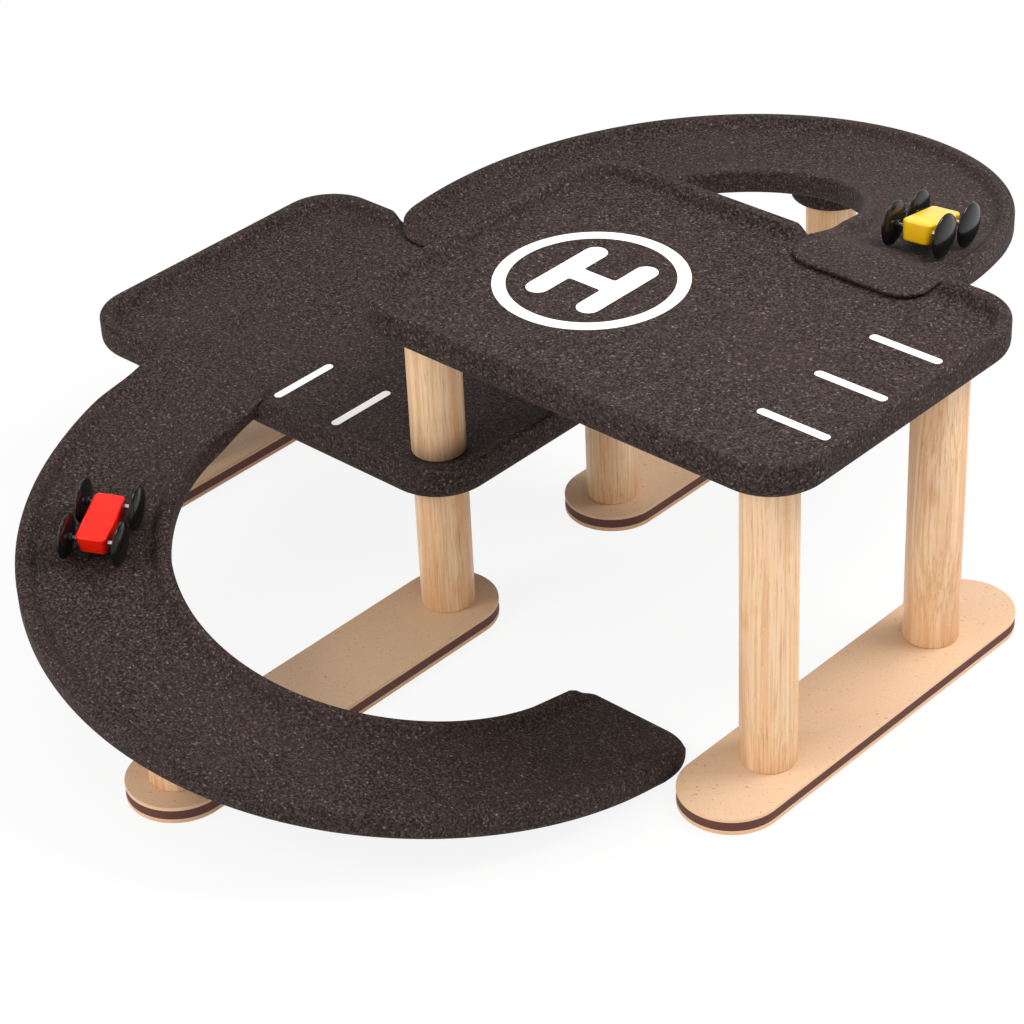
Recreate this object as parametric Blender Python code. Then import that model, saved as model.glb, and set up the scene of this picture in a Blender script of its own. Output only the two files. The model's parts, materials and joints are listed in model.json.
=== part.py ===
"""Toy parking garage: two rimmed decks on turned posts, two half-turn ramps and two small cars.

Metres, +Z up. The origin is on the floor, in the middle of the footprint. X runs along the decks and Y
across them, with the lower deck at -X. The plan is unchanged by half a turn about the origin, so the upper
ramp's plan is the lower ramp's turned by that half turn.
"""
import math

import bmesh
import bpy
import numpy as np
from mathutils import Matrix, Vector

MM = 0.001

# Gaps between neighbours
SEAT_GAP = 0.3 * MM
TENON_GAP = 0.3 * MM
AXLE_GAP = 0.1 * MM

# How far a cutter runs past the face that it opens
CUT_REACH = 1 * MM

# Shading: edges sharper than this stay crisp
CRISP_ANGLE = 35

# Post grid: columns at x = -225, 0 and 225, rows at y = -70 and 70
COLUMN_PITCH = 225 * MM
ROW_Y = 70 * MM

# Turned posts
POST_R = 15 * MM
POST_CHAMFER = 0.8 * MM
POST_SOCKET_DEPTH = 16 * MM
TENON_R = 6 * MM
TENON_CHAMFER = 0.6 * MM
TENON_END_GAP = 1 * MM
POST_SEGMENTS = 20
HOLE_SEGMENTS = 16

# Foot strips: a base layer, a core and a top layer
FOOT_WIDTH = 56 * MM
FOOT_BASE = 2.6 * MM
FOOT_CORE = 5.4 * MM
FOOT_TOP = 2 * MM
FOOT_HEIGHT = FOOT_BASE + FOOT_CORE + FOOT_TOP
FOOT_EDGE = 0.5 * MM
SHORT_OVERHANG = FOOT_WIDTH / 2
LONG_OVERHANG = 58 * MM
FOOT_END_SEGMENTS = 6

# Decks
DECK_THICKNESS = 13 * MM
DECK_MARGIN = 33.5 * MM
DECK_CORNER_R = 32 * MM
LOWER_UNDERSIDE = 96 * MM
UPPER_UNDERSIDE = 188 * MM
LOWER_SURFACE = LOWER_UNDERSIDE + DECK_THICKNESS
UPPER_SURFACE = UPPER_UNDERSIDE + DECK_THICKNESS
DECK_HALF_X = COLUMN_PITCH / 2 + DECK_MARGIN
DECK_HALF_Y = ROW_Y + DECK_MARGIN
DECK_SOCKET_DEPTH = 8 * MM
CORNER_SEGMENTS = 6

# Rims and edges of the moulded boards
DECK_RIM = 7 * MM
RAMP_RIM = 5 * MM
RIM_WIDTH = 12 * MM
RIM_EDGE_R = 3.5 * MM
RIM_FLAT = 1.5 * MM
BOTTOM_EDGE_R = 5 * MM
BOTTOM_EDGE_SHARE = 0.4
FADED_EDGE_R = 1 * MM
EDGE_STEPS = 3
RIM_SLOPE_STEPS = 2

# Ramps: a straight lead at each end of a half turn about a point beyond the post row, just clear of the
# outer foot strips. The middle post stands a little outside the middle line.
RAMP_CENTRE_BEYOND_ROW = 52 * MM
RAMP_CENTRE_Y = ROW_Y + RAMP_CENTRE_BEYOND_ROW
RAMP_WIDTH = 83 * MM
RAMP_HALF_WIDTH = RAMP_WIDTH / 2
RAMP_FOOT_CLEARANCE = 4.5 * MM
RAMP_R = COLUMN_PITCH - FOOT_WIDTH / 2 - RAMP_FOOT_CLEARANCE - RAMP_HALF_WIDTH
RAMP_POST_OFFSET = 2 * MM
RAMP_POST_Y = RAMP_CENTRE_Y + RAMP_R + RAMP_POST_OFFSET
RAMP_RUN_OUT = 40 * MM
RAMP_FOOT_Y = RAMP_CENTRE_Y - RAMP_RUN_OUT
RAMP_THICKNESS = 10.7 * MM
LOWER_RAMP_LAP = 15 * MM
UPPER_RAMP_LAP = 30 * MM
RAMP_LIP = 2 * MM
LOWER_RAMP_TOE = 4.5 * MM
UPPER_RAMP_TOE = 2.5 * MM
TIP_CHAMFER = 0.8 * MM
RAMP_KNEE = 3.5 * MM
RAMP_KNEE_RUN = 30 * MM
RAMP_BLEND = 8 * MM
LOWER_RAMP_EASE = 0.95
UPPER_RAMP_EASE = 1.5
RIM_RISE = 25 * MM
RIM_FALL = 16 * MM
RIM_END_GAP = 10 * MM
TOP_CORNER_R = 16 * MM
FOOT_CORNER_R = 20 * MM
RAMP_ARC_STEPS = 32
RIM_OPENING_GAP = 0.5 * MM

# Boss under the middle of each ramp, over its post
BOSS_R = 24 * MM
BOSS_HEIGHT = 16 * MM
BOSS_EDGE = 1 * MM
BOSS_ROOT = 4 * MM
BOSS_SOCKET_DEPTH = 10 * MM

# Cars
WHEEL_R = 12.5 * MM
WHEEL_OUTER_DOME = 2.9 * MM
WHEEL_INNER_DOME = 1.9 * MM
WHEEL_DOME_STEPS = 3
WHEEL_DOME_ANGLE = 78
WHEEL_BORE_DEPTH = 3 * MM
WHEEL_SEGMENTS = 20
WHEELBASE = 28 * MM
TRACK = 30 * MM
AXLE_R = 1.25 * MM
BODY_WIDTH = 18 * MM
BODY_NOSE = WHEELBASE / 2 + 4.5 * MM
BODY_TAIL = WHEELBASE / 2 + 3.4 * MM
BODY_ABOVE_AXLE = 5 * MM
BODY_BELOW_AXLE = 7 * MM
BODY_CORNER_R = 3 * MM
BODY_TAPER = 1.2 * MM
BODY_EDGE_R = 1 * MM

# Where the cars stand: distance down the ramp, distance outwards from its middle line, and the turn from
# facing straight down it in degrees
YELLOW_DOWN = 75.5 * MM
YELLOW_OUT = 9.5 * MM
YELLOW_TURN = 176.8
RED_DOWN = 146.2 * MM
RED_OUT = -5.9 * MM
RED_TURN = -14.8

COLOURS = {
    "composite": ((0.060, 0.044, 0.042), 0.62, 0.0),
    "rubberwood": ((0.760, 0.470, 0.235), 0.48, 0.0),
    "foot_face": ((0.780, 0.580, 0.400), 0.50, 0.0),
    "foot_core": ((0.125, 0.050, 0.040), 0.60, 0.0),
    "yellow": ((0.950, 0.500, 0.010), 0.25, 0.0),
    "red": ((0.830, 0.035, 0.015), 0.25, 0.0),
    "black": ((0.012, 0.012, 0.014), 0.12, 0.0),
    "steel": ((0.620, 0.620, 0.640), 0.22, 1.0),
}


# Building blocks

def clear_scene():
    for item in list(bpy.data.objects):
        bpy.data.objects.remove(item, do_unlink=True)


def finish_material(name, finish):
    colour, roughness, metallic = COLOURS[finish]
    material = bpy.data.materials.new(name)
    material.use_nodes = True
    shader = material.node_tree.nodes["Principled BSDF"]
    shader.inputs["Base Color"].default_value = (*colour, 1)
    shader.inputs["Roughness"].default_value = roughness
    shader.inputs["Metallic"].default_value = metallic
    return material


def place(bm, name, finish=None, matrix=None, origin=(0, 0, 0)):
    """Turn a bmesh into a named object; its mesh is given about origin, which becomes the object's own."""
    bmesh.ops.translate(bm, verts=bm.verts, vec=-Vector(origin))
    bmesh.ops.recalc_face_normals(bm, faces=bm.faces)
    mesh = bpy.data.meshes.new(name)
    bm.to_mesh(mesh)
    bm.free()
    mesh.shade_smooth()
    mesh.set_sharp_from_angle(angle=math.radians(CRISP_ANGLE))
    piece = bpy.data.objects.new(name, mesh)
    bpy.context.collection.objects.link(piece)
    piece.matrix_world = matrix if matrix is not None else Matrix.Translation(origin)
    if finish is None:
        piece.hide_render = True
        piece.display_type = "WIRE"
    else:
        mesh.materials.append(finish_material(name, finish))
    return piece


def combine(piece, tool, operation):
    step = piece.modifiers.new(tool.name, "BOOLEAN")
    step.operation = operation
    step.object = tool


def loft(rings):
    """A closed body through rings with the same number of points each, capped at both ends."""
    bm = bmesh.new()
    rows = [[bm.verts.new(point) for point in ring] for ring in rings]
    count = len(rows[0])
    for low, high in zip(rows, rows[1:]):
        for i in range(count):
            j = (i + 1) % count
            bm.faces.new((low[i], low[j], high[j], high[i]))
    bm.faces.new(reversed(rows[0]))
    bm.faces.new(rows[-1])
    return bm


def turned(profile, centre=(0, 0), segments=HOLE_SEGMENTS):
    """A piece turned on the lathe: profile is (radius, height) from one end's middle to the other's."""
    angles = [2 * math.pi * i / segments for i in range(segments)]
    return loft([
        [(centre[0] + r * math.cos(a), centre[1] + r * math.sin(a), z) for a in angles]
        for r, z in profile
    ])


def box(low, high):
    bm = bmesh.new()
    bmesh.ops.create_cube(bm, size=1)
    size = Vector(high) - Vector(low)
    bmesh.ops.scale(bm, verts=bm.verts, vec=size)
    bmesh.ops.translate(bm, verts=bm.verts, vec=Vector(low) + size / 2)
    return bm


def rounded_outline(low, high, radius, segments):
    """Counter-clockwise rounded rectangle between two plan corners."""
    corners = [
        (high[0] - radius, high[1] - radius, 0),
        (low[0] + radius, high[1] - radius, 90),
        (low[0] + radius, low[1] + radius, 180),
        (high[0] - radius, low[1] + radius, 270),
    ]
    points = []
    for x, y, start in corners:
        for i in range(segments + 1):
            angle = math.radians(start + 90 * i / segments)
            points.append((x + radius * math.cos(angle), y + radius * math.sin(angle)))
    return points


def quarter_round(radius):
    """A rounded edge from its wall to its face, as (inset from the wall, depth below the face)."""
    angles = [math.pi / 2 * i / EDGE_STEPS for i in range(EDGE_STEPS + 1)]
    return [(radius * (1 - math.cos(a)), radius * (1 - math.sin(a))) for a in angles]


def rim_top(surface, rim, edge):
    """Upper side of a board's border from its wall in, as (inset, height): rounded edge, crest, slope."""
    crest = surface + rim
    points = [(inset, crest - depth) for inset, depth in quarter_round(edge)]
    slope_start = edge + RIM_FLAT
    for i in range(RIM_SLOPE_STEPS + 1):
        t = i / RIM_SLOPE_STEPS
        inset = slope_start + (RIM_WIDTH - slope_start) * t
        points.append((inset, surface + rim * (0.5 + 0.5 * math.cos(math.pi * t))))
    return points


def board_edge(base, surface, rim, edge):
    """The whole border of a board, from its bottom face round its wall to its surface, as (inset, height)."""
    bottom_r = min(BOTTOM_EDGE_R, BOTTOM_EDGE_SHARE * (surface + rim - base))
    bottom = [(inset, base + depth) for inset, depth in reversed(quarter_round(bottom_r))]
    return bottom + rim_top(surface, rim, edge)


# Foot strips

def foot_strip(name, start, end, overhang):
    """Three glued layers under a pair of posts, with rounded ends; the posts' tenons pierce the upper two."""
    along_x = min(start[0], end[0]), max(start[0], end[0])
    along_y = min(start[1], end[1]), max(start[1], end[1])
    half = FOOT_WIDTH / 2
    low = (along_x[0] - half, along_y[0] - overhang)
    high = (along_x[1] + half, along_y[1] + overhang)
    tops = {
        "base": (0, FOOT_BASE - SEAT_GAP / 2),
        "core": (FOOT_BASE + SEAT_GAP / 2, FOOT_BASE + FOOT_CORE - SEAT_GAP / 2),
        "top": (FOOT_BASE + FOOT_CORE + SEAT_GAP / 2, FOOT_HEIGHT),
    }
    bore = TENON_R + TENON_GAP
    reach = [(bore, FOOT_BASE - SEAT_GAP), (bore, FOOT_HEIGHT + CUT_REACH)]
    holes = [
        place(turned(reach, spot), f"{name}_{label}_hole")
        for label, spot in (("near", start), ("far", end))
    ]
    end_r = half - 0.01 * MM
    for layer, (bottom, top) in tops.items():
        soft_bottom = FOOT_EDGE if layer == "base" else 0
        soft_top = FOOT_EDGE if layer == "top" else 0
        rings = []
        lower = (soft_bottom, bottom), (0, bottom + soft_bottom)
        upper = (0, top - soft_top), (soft_top, top)
        for inset, z in lower + upper:
            outline = rounded_outline(
                (low[0] + inset, low[1] + inset), (high[0] - inset, high[1] - inset),
                end_r - inset, FOOT_END_SEGMENTS)
            ring = [(x, y, z) for x, y in outline]
            if not rings or ring != rings[-1]:
                rings.append(ring)
        piece = place(loft(rings), f"{name}_{layer}", "foot_core" if layer == "core" else "foot_face")
        if layer != "base":
            for hole in holes:
                combine(piece, hole, "DIFFERENCE")


# Posts

def post(name, spot, bottom, top, top_tenon, bottom_tenon=0, bottom_socket=0):
    """A turned post with a tenon on top, and below either a tenon or a socket for the next post's tenon."""
    profile = []
    if bottom_socket:
        bore = TENON_R + TENON_GAP
        profile += [(bore, bottom + bottom_socket), (bore, bottom)]
    else:
        foot = bottom - bottom_tenon
        profile += [(TENON_R - TENON_CHAMFER, foot), (TENON_R, foot + TENON_CHAMFER), (TENON_R, bottom)]
    profile += [(POST_R - POST_CHAMFER, bottom), (POST_R, bottom + POST_CHAMFER)]
    profile += [(POST_R, top - POST_CHAMFER), (POST_R - POST_CHAMFER, top)]
    tip = top + top_tenon
    profile += [(TENON_R, top), (TENON_R, tip - TENON_CHAMFER), (TENON_R - TENON_CHAMFER, tip)]
    place(turned(profile, spot, POST_SEGMENTS), name, "rubberwood", origin=(*spot, bottom))


def make_posts():
    floor = FOOT_HEIGHT + SEAT_GAP
    into_foot = FOOT_CORE + FOOT_TOP
    into_deck = DECK_SOCKET_DEPTH - TENON_END_GAP
    under_lower = LOWER_UNDERSIDE - SEAT_GAP
    under_upper = UPPER_UNDERSIDE - SEAT_GAP
    for name, y in (("c", -ROW_Y), ("d", ROW_Y)):
        post(f"post_{name}", (COLUMN_PITCH, y), floor, under_upper, into_deck, into_foot)
    for name, y in (("g", -ROW_Y), ("h", ROW_Y)):
        post(f"post_{name}", (-COLUMN_PITCH, y), floor, under_lower, into_deck, into_foot)
    over_lower = LOWER_SURFACE + SEAT_GAP
    through_deck = over_lower - under_lower + POST_SOCKET_DEPTH - TENON_END_GAP
    for name, y in (("a", -ROW_Y), ("e", ROW_Y)):
        post(f"post_{name}_lower", (0, y), floor, under_lower, through_deck, into_foot)
        post(f"post_{name}_upper", (0, y), over_lower, under_upper, into_deck, 0, POST_SOCKET_DEPTH)
    for name, ramp in (("i", LOWER_RAMP), ("f", UPPER_RAMP)):
        spot = ramp.plan(0, -RAMP_POST_Y)
        boss = ramp.boss_bottom()
        post(f"post_{name}", spot, floor, boss - SEAT_GAP, BOSS_SOCKET_DEPTH - TENON_END_GAP, into_foot)


# Decks

def deck(name, middle_x, underside, sockets, through_holes, openings):
    """A board with its rim; openings are (x, side) where a ramp laps over the edge on that side."""
    surface = underside + DECK_THICKNESS
    rings = []
    for inset, z in board_edge(underside, surface, DECK_RIM, RIM_EDGE_R):
        half_x = DECK_HALF_X - inset
        half_y = DECK_HALF_Y - inset
        outline = rounded_outline(
            (middle_x - half_x, -half_y), (middle_x + half_x, half_y),
            DECK_CORNER_R - inset, CORNER_SEGMENTS)
        rings.append([(x, y, z) for x, y in outline])
    board = place(loft(rings), name, "composite")
    bore = TENON_R + TENON_GAP
    for label, spot in sockets.items():
        reach = [(bore, underside - CUT_REACH), (bore, underside + DECK_SOCKET_DEPTH)]
        combine(board, place(turned(reach, spot), f"{name}_socket_{label}"), "DIFFERENCE")
    for label, spot in through_holes.items():
        reach = [(bore, underside - CUT_REACH), (bore, surface + CUT_REACH)]
        combine(board, place(turned(reach, spot), f"{name}_hole_{label}"), "DIFFERENCE")
    half_gap = RAMP_HALF_WIDTH + RIM_OPENING_GAP
    for label, (x, side) in openings.items():
        outside = side * (DECK_HALF_Y + CUT_REACH)
        inside = side * (DECK_HALF_Y - RIM_WIDTH - CUT_REACH)
        low = (x - half_gap, min(outside, inside), surface)
        high = (x + half_gap, max(outside, inside), surface + DECK_RIM + CUT_REACH)
        combine(board, place(box(low, high), f"{name}_opening_{label}"), "DIFFERENCE")


def make_decks():
    deck(
        "lower_deck", -COLUMN_PITCH / 2, LOWER_UNDERSIDE,
        sockets={"g": (-COLUMN_PITCH, -ROW_Y), "h": (-COLUMN_PITCH, ROW_Y)},
        through_holes={"a": (0, -ROW_Y), "e": (0, ROW_Y)},
        openings={"down": (-RAMP_R, -1), "up": (-RAMP_R, 1)},
    )
    deck(
        "upper_deck", COLUMN_PITCH / 2, UPPER_UNDERSIDE,
        sockets={"c": (COLUMN_PITCH, -ROW_Y), "d": (COLUMN_PITCH, ROW_Y), "a": (0, -ROW_Y), "e": (0, ROW_Y)},
        through_holes={},
        openings={"down": (RAMP_R, 1)},
    )


# Ramps

def smooth_step(t):
    t = min(max(t, 0), 1)
    return t * t * (3 - 2 * t)


def corner_inset(distance, radius):
    """How far a rounded corner of this radius pulls the side in, at this distance from the end."""
    if distance >= radius:
        return 0
    return radius - math.sqrt(max(radius ** 2 - (radius - distance) ** 2, 0))


class Ramp:
    """A half-turn ramp. Its plan is worked out about -Y, and turned by half a turn when turn is -1.

    lap is how far its thin lip reaches in over the deck. seats are the decks that it lies on, as
    (x of its middle line, side, height of the deck's surface).
    """

    def __init__(self, name, turn, lap, top, foot, ease, seats):
        self.name = name
        self.turn = turn
        self.lap = lap
        self.top = top
        self.foot = foot
        self.ease = ease
        self.seats = seats
        self.end_y = DECK_HALF_Y - lap
        self.lead = RAMP_CENTRE_Y - self.end_y
        self.arc_end = self.lead + math.pi * RAMP_R
        self.length = self.arc_end + RAMP_CENTRE_Y - RAMP_FOOT_Y

    def plan(self, x, y):
        return self.turn * x, self.turn * y

    def middle(self, s):
        """Point of the middle line at distance s from the upper end, and the way outwards from it."""
        if s < self.lead:
            return Vector((-RAMP_R, -self.end_y - s)), Vector((-1, 0))
        angle = (s - self.lead) / RAMP_R
        if angle < math.pi:
            out = Vector((-math.cos(angle), -math.sin(angle)))
            return Vector((0, -RAMP_CENTRE_Y)) + RAMP_R * out, out
        return Vector((RAMP_R, -RAMP_CENTRE_Y + s - self.arc_end)), Vector((1, 0))

    def spot(self, s, offset):
        """The place in plan at distance s and offset outwards, and the heading straight down the ramp."""
        point, out = self.middle(s)
        x, y = self.plan(*(point + offset * out))
        down = self.plan(-out.y, out.x)
        return x, y, math.atan2(down[1], down[0])

    def locate(self, x, y):
        """Distance along the middle line, and distance outwards from it, of a point in plan."""
        x, y = self.plan(x, y)
        if y > -RAMP_CENTRE_Y:
            if x < 0:
                return -self.end_y - y, -x - RAMP_R
            return self.arc_end + y + RAMP_CENTRE_Y, x - RAMP_R
        angle = math.atan2(-(y + RAMP_CENTRE_Y), -x)
        return self.lead + angle * RAMP_R, math.hypot(x, y + RAMP_CENTRE_Y) - RAMP_R

    def slope_line(self, s):
        """Level over the deck, a short knee past the deck's edge, then the long slope down to the foot."""
        out = s - self.lap
        t = min(max(out / (self.length - self.lap), 0), 1)
        fall = self.top - self.foot - RAMP_KNEE
        knee = RAMP_KNEE * smooth_step(out / RAMP_KNEE_RUN)
        return self.top - knee - fall * (self.ease * t + (1 - self.ease) * t * t)

    def surface(self, s):
        """Height of the running surface, with the bend at the deck's edge eased over a short blend."""
        steps = np.linspace(-RAMP_BLEND, RAMP_BLEND, 9)
        chamfer = max(TIP_CHAMFER - min(s, self.length - s), 0)
        return float(np.mean([self.slope_line(s + step) for step in steps])) - chamfer

    def base(self, s):
        return max(self.surface(s) - RAMP_THICKNESS, 0)

    def rim(self, s):
        """Share of the rim's full height: it rises past the deck's edge and fades out before the foot."""
        rise = smooth_step((s - self.lap) / RIM_RISE)
        return min(rise, smooth_step((self.length - s - RIM_END_GAP) / RIM_FALL))

    def edge(self, s):
        return FADED_EDGE_R + (RIM_EDGE_R - FADED_EDGE_R) * self.rim(s)

    def top_at(self, x, y):
        """Height of the ramp's upper side at a point in plan, rims included."""
        s, out = self.locate(x, y)
        insets, heights = zip(*rim_top(self.surface(s), RAMP_RIM * self.rim(s), self.edge(s)))
        return float(np.interp(RAMP_HALF_WIDTH - abs(out), insets, heights))

    def boss_bottom(self):
        s, out = self.locate(*self.plan(0, -RAMP_POST_Y))
        return self.base(s) - BOSS_HEIGHT

    def stations(self):
        """Distances at which the cross-section is drawn: close together round the corners and the fades."""
        quarter = [math.radians(18 * i) for i in range(1, 6)]
        head = [0, TIP_CHAMFER] + [TOP_CORNER_R * (1 - math.cos(a)) for a in quarter[1:]]
        tail = [self.length - FOOT_CORNER_R * (1 - math.cos(a)) for a in reversed(quarter[1:])]
        lead = list(np.linspace(TOP_CORNER_R, self.lead, 7)[1:])
        arc = list(np.linspace(self.lead, self.arc_end, RAMP_ARC_STEPS + 1)[1:])
        run_out = list(np.linspace(self.arc_end, tail[0], 6)[1:-1])
        tip = [self.length - TIP_CHAMFER, self.length]
        return [float(s) for s in head + lead + arc + run_out + tail + tip]

    def ring(self, s):
        inset_top = corner_inset(s, TOP_CORNER_R)
        inset_foot = corner_inset(self.length - s, FOOT_CORNER_R)
        half = RAMP_HALF_WIDTH - max(inset_top, inset_foot)
        profile = board_edge(self.base(s), self.surface(s), RAMP_RIM * self.rim(s), self.edge(s))
        section = [(half - inset, z) for inset, z in profile]
        section += [(inset - half, z) for inset, z in reversed(profile)]
        point, out = self.middle(s)
        ring = []
        for offset, z in section:
            x, y = self.plan(*(point + offset * out))
            ring.append((x, y, z))
        return ring

    def boss(self):
        """The boss's upper end runs a little way into the ramp and follows its slope."""
        spot = self.plan(0, -RAMP_POST_Y)
        bottom = self.boss_bottom()
        profile = [(BOSS_R - BOSS_EDGE, bottom), (BOSS_R, bottom + BOSS_EDGE), (BOSS_R, bottom + BOSS_HEIGHT)]
        bm = turned(profile, spot, POST_SEGMENTS)
        for vert in bm.verts:
            if vert.co.z > bottom + BOSS_HEIGHT / 2:
                s, out = self.locate(vert.co.x, vert.co.y)
                vert.co.z = self.base(s) + BOSS_ROOT
        return bm

    def build(self):
        board = place(loft([self.ring(s) for s in self.stations()]), self.name, "composite")
        combine(board, place(self.boss(), f"{self.name}_boss"), "UNION")
        spot = self.plan(0, -RAMP_POST_Y)
        bottom = self.boss_bottom()
        bore = TENON_R + TENON_GAP
        socket = turned([(bore, bottom - CUT_REACH), (bore, bottom + BOSS_SOCKET_DEPTH)], spot)
        combine(board, place(socket, f"{self.name}_socket"), "DIFFERENCE")
        for label, (x, side, surface) in self.seats.items():
            inner = side * (min(self.end_y, RAMP_FOOT_Y) - CUT_REACH)
            outer = side * (DECK_HALF_Y + SEAT_GAP)
            low = (x - 2 * RAMP_HALF_WIDTH, min(inner, outer), surface - 2 * DECK_THICKNESS)
            high = (x + 2 * RAMP_HALF_WIDTH, max(inner, outer), surface + SEAT_GAP)
            combine(board, place(box(low, high), f"{self.name}_seat_{label}"), "DIFFERENCE")


LOWER_RAMP = Ramp(
    "lower_ramp", 1, LOWER_RAMP_LAP, LOWER_SURFACE + RAMP_LIP, LOWER_RAMP_TOE, LOWER_RAMP_EASE,
    seats={"top": (-RAMP_R, -1, LOWER_SURFACE)},
)
UPPER_RAMP = Ramp(
    "upper_ramp", -1, UPPER_RAMP_LAP, UPPER_SURFACE + RAMP_LIP, LOWER_SURFACE + UPPER_RAMP_TOE,
    UPPER_RAMP_EASE,
    seats={"top": (RAMP_R, 1, UPPER_SURFACE), "foot": (-RAMP_R, 1, LOWER_SURFACE)},
)


# Cars

def dome(radius, height):
    """Points of a shallow dome from its rim to just short of its middle, as (radius, height)."""
    angles = [math.radians(WHEEL_DOME_ANGLE * i / WHEEL_DOME_STEPS) for i in range(WHEEL_DOME_STEPS + 1)]
    return [(radius * math.cos(a), height * math.sin(a)) for a in angles]


def wheel(name, matrix, side):
    """A lens-shaped wheel, more domed outside; a blind bore in its inner face takes the axle."""
    bore = AXLE_R + AXLE_GAP
    inner = [(r, -z) for r, z in reversed(dome(WHEEL_R, WHEEL_INNER_DOME)) if r > 2 * bore]
    hub_face = -WHEEL_INNER_DOME
    profile = [(bore, hub_face + WHEEL_BORE_DEPTH), (bore, hub_face), (2 * bore, hub_face)]
    profile += inner + dome(WHEEL_R, WHEEL_OUTER_DOME)[1:]
    bm = turned(profile, segments=WHEEL_SEGMENTS)
    outwards = Matrix.Rotation(math.radians(-90 * side), 4, "X")
    place(bm, name, "black", matrix @ outwards)


def axle(name, matrix):
    reach = TRACK / 2 - WHEEL_INNER_DOME + WHEEL_BORE_DEPTH - SEAT_GAP
    bm = turned([(AXLE_R, -reach), (AXLE_R, reach)])
    place(bm, name, "steel", matrix @ Matrix.Rotation(math.radians(90), 4, "X"))


def car_body(name, matrix, finish):
    """A block with rounded corners, narrower below than above, with a bore across it for each axle."""
    rings = []
    half = BODY_WIDTH / 2
    soft = BODY_EDGE_R * (1 - math.sqrt(0.5))
    layers = (
        (BODY_TAPER + soft, -BODY_BELOW_AXLE),
        (BODY_TAPER, -BODY_BELOW_AXLE + BODY_EDGE_R),
        (0, BODY_ABOVE_AXLE - BODY_EDGE_R),
        (soft, BODY_ABOVE_AXLE - soft),
        (BODY_EDGE_R, BODY_ABOVE_AXLE),
    )
    for inset, z in layers:
        outline = rounded_outline(
            (-BODY_TAIL + inset, -half + inset), (BODY_NOSE - inset, half - inset), BODY_CORNER_R, 4)
        rings.append([(x, y, z) for x, y in outline])
    body = place(loft(rings), name, finish, matrix)
    bore = AXLE_R + AXLE_GAP
    for label, x in (("front", WHEELBASE / 2), ("rear", -WHEELBASE / 2)):
        hole = turned([(bore, -BODY_WIDTH), (bore, BODY_WIDTH)])
        across = Matrix.Translation((x, 0, 0)) @ Matrix.Rotation(math.radians(90), 4, "X")
        combine(body, place(hole, f"{name}_{label}_bore", matrix=matrix @ across), "DIFFERENCE")


def seat_on(ramp, x, y, heading):
    """Where a car stands on a ramp: level with the four heights under its wheels, and just clear of them."""
    ahead = Vector((math.cos(heading), math.sin(heading)))
    left = Vector((-ahead.y, ahead.x))
    spots = []
    for along in (WHEELBASE / 2, -WHEELBASE / 2):
        for across in (TRACK / 2, -TRACK / 2):
            spot = Vector((x, y)) + along * ahead + across * left
            spots.append((along, across, ramp.top_at(spot.x, spot.y)))
    along, across, height = np.array(spots).T
    slopes, _, _, _ = np.linalg.lstsq(np.stack([along, across, np.ones(4)], 1), height, rcond=None)
    forward = Vector((ahead.x, ahead.y, slopes[0])).normalized()
    up = forward.cross(Vector((left.x, left.y, slopes[1]))).normalized()
    sideways = up.cross(forward)
    turn = Matrix((forward, sideways, up)).transposed().to_4x4()
    start = Vector((x, y, slopes[2])) + WHEEL_R * up
    clearance = min(
        point.z - ramp.top_at(point.x, point.y)
        for point in wheel_rims(Matrix.Translation(start) @ turn)
    )
    start.z += SEAT_GAP - clearance
    return Matrix.Translation(start) @ turn


def wheel_rims(matrix):
    """Points round the treads of a car's four wheels."""
    for along in (WHEELBASE / 2, -WHEELBASE / 2):
        for across in (TRACK / 2, -TRACK / 2):
            for i in range(2 * WHEEL_SEGMENTS):
                angle = math.pi * i / WHEEL_SEGMENTS
                offset = Vector((WHEEL_R * math.cos(angle), 0, WHEEL_R * math.sin(angle)))
                yield matrix @ (Vector((along, across, 0)) + offset)


def car(name, finish, ramp, down, out, turn):
    x, y, heading = ramp.spot(down, out)
    seat = seat_on(ramp, x, y, heading + math.radians(turn))
    car_body(f"{name}_body", seat, finish)
    for end, along in (("front", WHEELBASE / 2), ("rear", -WHEELBASE / 2)):
        axle(f"{name}_{end}_axle", seat @ Matrix.Translation((along, 0, 0)))
        for label, side in (("left", 1), ("right", -1)):
            spot = Matrix.Translation((along, side * TRACK / 2, 0))
            wheel(f"{name}_{end}_{label}_wheel", seat @ spot, side)


def build():
    clear_scene()
    column = COLUMN_PITCH
    foot_strip("foot_cd", (column, -ROW_Y), (column, ROW_Y), LONG_OVERHANG)
    foot_strip("foot_gh", (-column, -ROW_Y), (-column, ROW_Y), LONG_OVERHANG)
    foot_strip("foot_ai", (0, -ROW_Y), (0, -RAMP_POST_Y), SHORT_OVERHANG)
    foot_strip("foot_ef", (0, ROW_Y), (0, RAMP_POST_Y), SHORT_OVERHANG)
    make_posts()
    make_decks()
    LOWER_RAMP.build()
    UPPER_RAMP.build()
    car("yellow", "yellow", UPPER_RAMP, YELLOW_DOWN, YELLOW_OUT, YELLOW_TURN)
    car("red", "red", LOWER_RAMP, RED_DOWN, RED_OUT, RED_TURN)


build()
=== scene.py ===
"""Toy parking garage: the finished pieces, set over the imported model.

Metres, +Z up, in the part's own frame. The decks run along X, the ramps reach out along Y.
"""
import json
import math

import bmesh
import bpy
from mathutils import Matrix, Vector


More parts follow.
